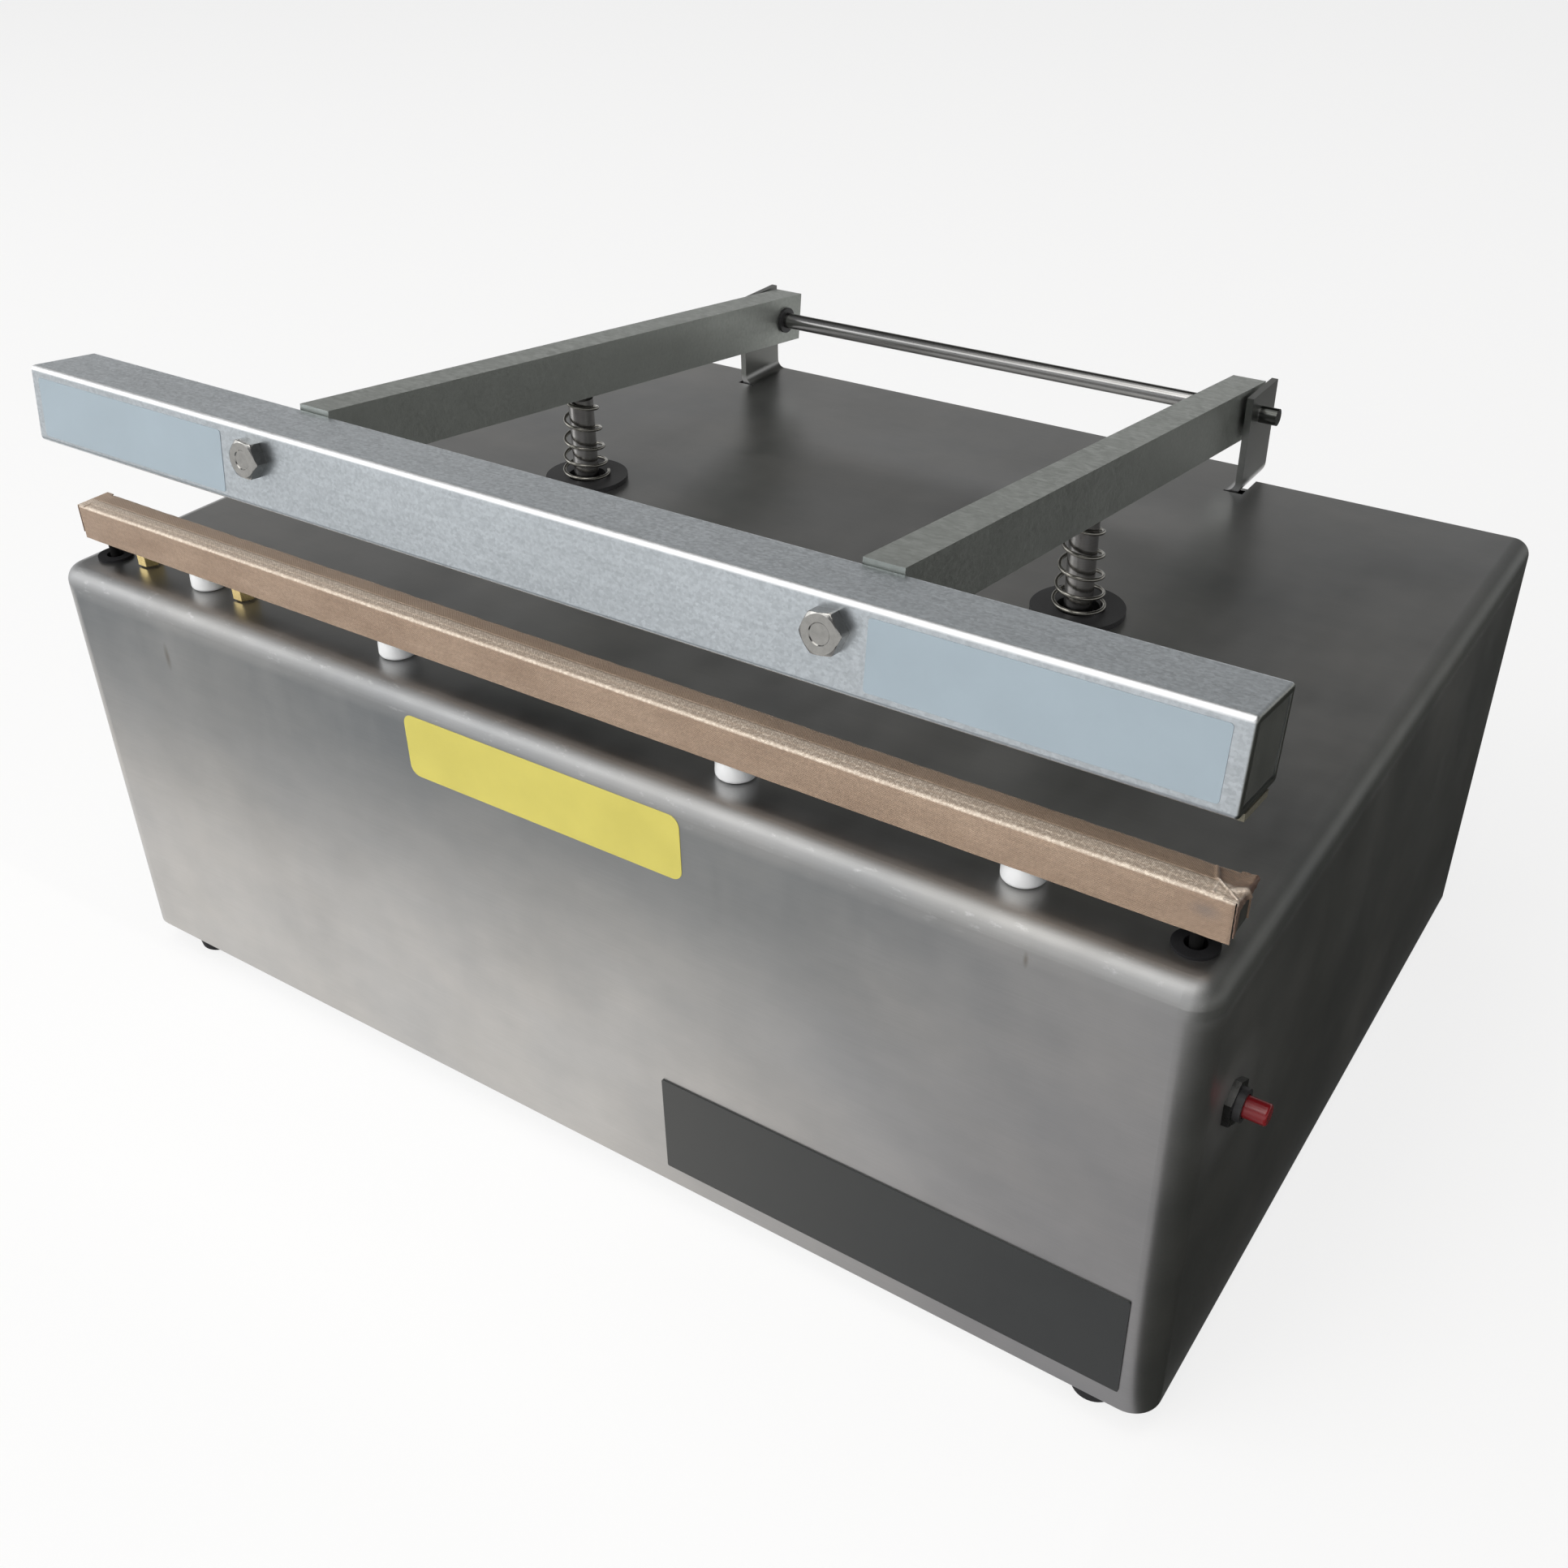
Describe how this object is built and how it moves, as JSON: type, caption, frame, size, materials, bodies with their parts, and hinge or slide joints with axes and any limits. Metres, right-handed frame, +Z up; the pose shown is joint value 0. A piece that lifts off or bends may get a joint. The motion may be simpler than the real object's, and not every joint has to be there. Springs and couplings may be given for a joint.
{
  "type": "impulse heat sealer",
  "caption": "Bench-top bag sealer: a folded steel case with a wrapped heating bar along its front and a hinged square-tube jaw that solenoids pull down and springs lift.",
  "frame": {"origin": "middle of the footprint of the whole object, on the surface that the feet stand on", "axes": "+X to the right along the seal bar, +Y from the front face to the hinge, +Z up"},
  "size_m": [0.4424, 0.304, 0.2393],
  "materials": {
    "stainless": "satin stainless sheet",
    "zinc_sheet": "zinc-plated sheet",
    "zinc_tube": "galvanised square tube with a fine spangle",
    "zinc_bar": "zinc-plated flat bar",
    "bright_steel": "bright steel",
    "screw_steel": "plated fasteners",
    "brass": "plain brass",
    "wrap_cloth": "tan coated glass cloth",
    "aluminium_bar": "extruded bar",
    "glass_cloth": "woven glass strip",
    "heating_alloy": "flat resistance ribbon",
    "white_nylon": "white nylon",
    "black_rubber": "moulded rubber",
    "black_plastic": "black moulding",
    "grey_plastic": "dark grey moulding",
    "dark_plate": "thin plate with a dark grey coat",
    "silicone": "firm silicone strip",
    "red_plastic": "red moulding",
    "lead_sleeve": "woven sleeve over wire",
    "winding_tape": "yellow winding tape",
    "core_plates": "varnished plates",
    "board_laminate": "green laminate",
    "relay_case": "blue moulded case"
  },
  "bodies": {
    "housing": {"housing_cover": "stainless", "rear_panel": "stainless", "base_plate": "zinc_sheet", "solenoid_frame_left": "zinc_sheet", "solenoid_frame_right": "zinc_sheet", "pivot_rod": "bright_steel", "spring_left": "bright_steel", "spring_right": "bright_steel", "panel_screws": "screw_steel", "base_screws": "screw_steel", "foot_screws": "screw_steel", "standoff_screws": "screw_steel", "transformer_screws": "screw_steel", "breaker_nut": "screw_steel", "jack_nut": "screw_steel", "inlet_blades": "screw_steel", "board_posts": "screw_steel", "terminal_screws": "brass", "seal_cover": "wrap_cloth", "seal_bar": "aluminium_bar", "insulating_strip": "glass_cloth", "heating_element": "heating_alloy", "seal_standoffs": "white_nylon", "rubber_feet": "black_rubber", "lead_grommets": "black_rubber", "spring_washers": "black_plastic", "breaker_body": "black_plastic", "power_inlet": "black_plastic", "footswitch_jack": "black_plastic", "front_plate": "dark_plate", "element_leads": "lead_sleeve", "solenoid_coil_left": "winding_tape", "solenoid_coil_right": "winding_tape", "transformer_winding": "winding_tape", "transformer_core": "core_plates", "timer_board": "board_laminate", "timer_relays": "relay_case", "terminal_block": "relay_case"},
    "jaw": {"arm_left": "zinc_bar", "arm_right": "zinc_bar", "front_bar": "zinc_tube", "bar_end_plug_left": "grey_plastic", "bar_end_plug_right": "grey_plastic", "arm_bolts": "bright_steel", "press_pad": "silicone", "pivot_bushes": "black_plastic", "link_pins": "zinc_bar"},
    "plunger_left": {"plunger_left": "bright_steel"},
    "plunger_right": {"plunger_right": "bright_steel"},
    "button": {"button_cap": "red_plastic"}
  },
  "joints": [
    {"name": "jaw_hinge", "type": "hinge", "parent": "housing", "child": "jaw", "pos_m": [-0.0052, 0.1375, 0.196], "axis": [1, 0, 0], "range_deg": [0, 4.7], "stiffness_Nm_per_rad": 30, "springref_deg": -9.74},
    {"name": "plunger_left_slide", "type": "slide", "parent": "housing", "child": "plunger_left", "axis": [0, 0, -1], "range_m": [0, 0.0107], "deforming": ["spring_left"]},
    {"name": "plunger_right_slide", "type": "slide", "parent": "housing", "child": "plunger_right", "axis": [0, 0, -1], "range_m": [0, 0.0107], "deforming": ["spring_right"]},
    {"name": "button_press", "type": "slide", "parent": "housing", "child": "button", "axis": [-1, 0, 0], "range_m": [0, 0.003], "stiffness_N_per_m": 500, "springref_m": -0.003}
  ],
  "couplings": [
    {"joint": "plunger_left_slide", "follows": "jaw_hinge", "m_per_rad": 0.1293},
    {"joint": "plunger_right_slide", "follows": "jaw_hinge", "m_per_rad": 0.1293}
  ]
}
